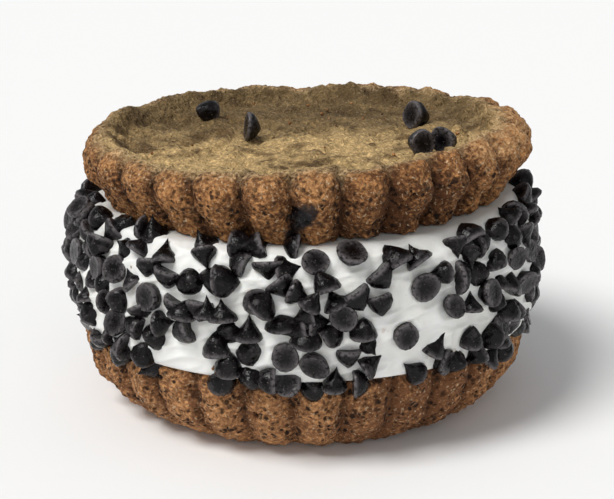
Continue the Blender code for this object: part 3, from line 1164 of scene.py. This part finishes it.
def ice_cream():
    shoulder = (BAND_BULGE_RADIUS - BAND_TOP_RADIUS, ICE_CREAM_THICKNESS - BULGE_HEIGHT)
    foot_bulge = (BAND_BULGE_RADIUS - BAND_FOOT_RADIUS, BULGE_HEIGHT)
    outline = arc((BAND_FOOT_RADIUS, BULGE_HEIGHT), foot_bulge, -90, 0, 20)
    outline += arc((BAND_TOP_RADIUS, BULGE_HEIGHT), shoulder, 0, 90, 30)[1:]
    bm = bmesh.new()
    roll(bm, outline, BAND_COLUMNS, BAND_ROWS, strips=3, strip_height=0.28)
    caps = bmesh.ops.holes_fill(bm, edges=open_edges(bm, 0, COOKIE_RADIUS + 5), sides=0)["faces"]
    bmesh.ops.recalc_face_normals(bm, faces=bm.faces)
    base, top = sorted(caps, key=lambda face: face.calc_center_median().z)
    map_flat(bm, [base], (0.25, 0.92), 0.0016)
    map_flat(bm, [top], (0.75, 0.92), 0.0016)

    near = KDTree(len(chips))
    for number, chip in enumerate(chips):
        near.insert(chip.place, number)
    near.balance()

    def outward(radius, height, angle):
        lift = math.sin(math.pi * height / ICE_CREAM_THICKNESS)
        return waves(angle + 0.04 * height, BAND_WAVES) * lift

    def upward(radius, height, angle):
        return height / ICE_CREAM_THICKNESS * radius * band_lean(angle) + ICE_CREAM_FOOT

    reshape(bm, outward, upward)
    bm.normal_update()
    for vert in bm.verts:
        angle = math.atan2(vert.co.y, vert.co.x)
        height = vert.co.z - ICE_CREAM_FOOT
        edge_share = ramp(height, 0, 2) * (1 - ramp(height, ICE_CREAM_THICKNESS - 2, ICE_CREAM_THICKNESS))
        away = near.find(vert.co)[2]
        lip = LIP_HEIGHT * math.exp(-(((away - LIP_RADIUS) / LIP_WIDTH) ** 2))
        vert.co += vert.normal * (spatula_folds(angle, height) * edge_share + lip * edge_share)
    finish_piece("ice_cream_band", bm, cream_finish(), "ice_cream")


ice_cream()

# %% [markdown]
# ## Loose crumbs
#
# Handling the cookies sheds crumbs, and a few stick to the ice cream and gather in the dish. Each is a small
# icosphere, pulled out of shape by noise.

# %% Strew the crumbs
CRUMB_SIZES = (0.15, 0.34)
CRUMBS_ON_BAND = 30
CRUMBS_IN_DISH = 24
CRUMB_LIFT = 0.4


def shed_crumbs():
    dice = random.Random(11)
    places = []
    for _ in range(CRUMBS_ON_BAND):
        angle, height = dice.uniform(0, TURN), dice.uniform(1, ICE_CREAM_THICKNESS - 1)
        places.append(band_point(angle, height) + 0.2 * band_normal(angle, height))
    for _ in range(CRUMBS_IN_DISH):
        angle, radius = dice.uniform(0, TURN), DISH_RADIUS * math.sqrt(dice.random())
        place = Vector((radius * math.cos(angle), radius * math.sin(angle), DISH_FLOOR + CRUMB_LIFT))
        places.append(on_the_sandwich(place))
    bm = bmesh.new()
    for place in places:
        size = dice.uniform(*CRUMB_SIZES)
        grain = bmesh.ops.create_icosphere(bm, subdivisions=2, radius=size)["verts"]
        for vert in grain:
            vert.co = place + vert.co * (1 + 1.1 * noise.noise(vert.co * 1.6 / size + place))
    finish_piece("loose_crumbs", bm, upper_crumb)


shed_crumbs()

# %% [markdown]
# ## Floor, light and camera
#
# A plain white floor and soft light from the upper left show food honestly: the light is large, so the edges
# of the shadows are soft, and a bright surround fills the rest. The camera stands a little above the rim and
# close by, which opens the dish on top and lets the sides taper.

# %% Lay the floor
def lay_floor():
    bm = bmesh.new()
    bmesh.ops.create_grid(bm, x_segments=1, y_segments=1, size=3)
    mesh = bpy.data.meshes.new("floor")
    bm.to_mesh(mesh)
    bm.free()
    paint = Finish("white_floor", Roughness=0.9, Specular_IOR_Level=0.1)
    mesh.materials.append(paint.surface(Base_Color=(0.95, 0.95, 0.95, 1)))
    floor = bpy.data.objects.new("floor", mesh)
    bpy.context.scene.collection.objects.link(floor)
    floor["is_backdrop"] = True


lay_floor()
print("floor laid")

# %% [markdown]
# Far lights that look many degrees wide stand in for large soft boxes, because they are as strong at one
# end of the object as at the other. The key comes from the upper left, and a weaker, wider fill from the
# front.

# %% Light the scene
def light_world(strength):
    world = bpy.data.worlds.new("surround")
    world.use_nodes = True
    background = world.node_tree.nodes["Background"]
    background.inputs["Color"].default_value = (0.97, 0.985, 1.0, 1)
    background.inputs["Strength"].default_value = strength
    bpy.context.scene.world = world


def add_sky_panel(name, direction, strength, softness, colour):
    """A far light of one strength everywhere, which comes from that direction, so many degrees wide."""
    light = bpy.data.lights.new(name, "SUN")
    light.energy = strength
    light.angle = math.radians(softness)
    light.color = colour
    lamp = bpy.data.objects.new(name, light)
    lamp.rotation_euler = Vector(direction).to_track_quat("Z", "Y").to_euler()
    bpy.context.scene.collection.objects.link(lamp)


light_world(0.36)
add_sky_panel("key", (-0.55, -0.42, 1.0), 2.38, 26, (1.0, 0.99, 0.97))
add_sky_panel("fill", (0.10, -1.0, 0.22), 0.58, 60, (1.0, 1.0, 1.0))
print("lit by a surround, a wide key and a soft fill")

# %% [markdown]
# The camera stands 25 cm in front of the middle of the sandwich and almost twice as high as its top, with a
# lens long enough to fill the frame.

# %% Place the camera
CAMERA_PLACE = Vector((0, -0.250, 0.102))
CAMERA_TARGET = Vector((0.0005, 0, 0.0265))
LENS = 79


def place_camera():
    camera = bpy.data.cameras.new("camera")
    camera.lens = LENS
    camera.clip_start = 0.01
    viewer = bpy.data.objects.new("camera", camera)
    viewer.location = CAMERA_PLACE
    viewer.rotation_euler = (CAMERA_TARGET - CAMERA_PLACE).to_track_quat("-Z", "Y").to_euler()
    bpy.context.scene.collection.objects.link(viewer)
    bpy.context.scene.camera = viewer
    bpy.context.scene.view_settings.view_transform = "Standard"


place_camera()
print("camera placed")

# %% [markdown]
# Last, the box of the imported part and the box of the finished pieces are printed side by side, which
# shows how far the chips stand out past the plain solids.

# %% Print the sizes
new_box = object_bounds()
sizes = {"cad": [list(corner) for corner in cad_box], "visual": [list(corner) for corner in new_box]}
for name, box in sizes.items():
    print(f"{name} box in mm:", [[round(value / MM, 1) for value in corner] for corner in box])
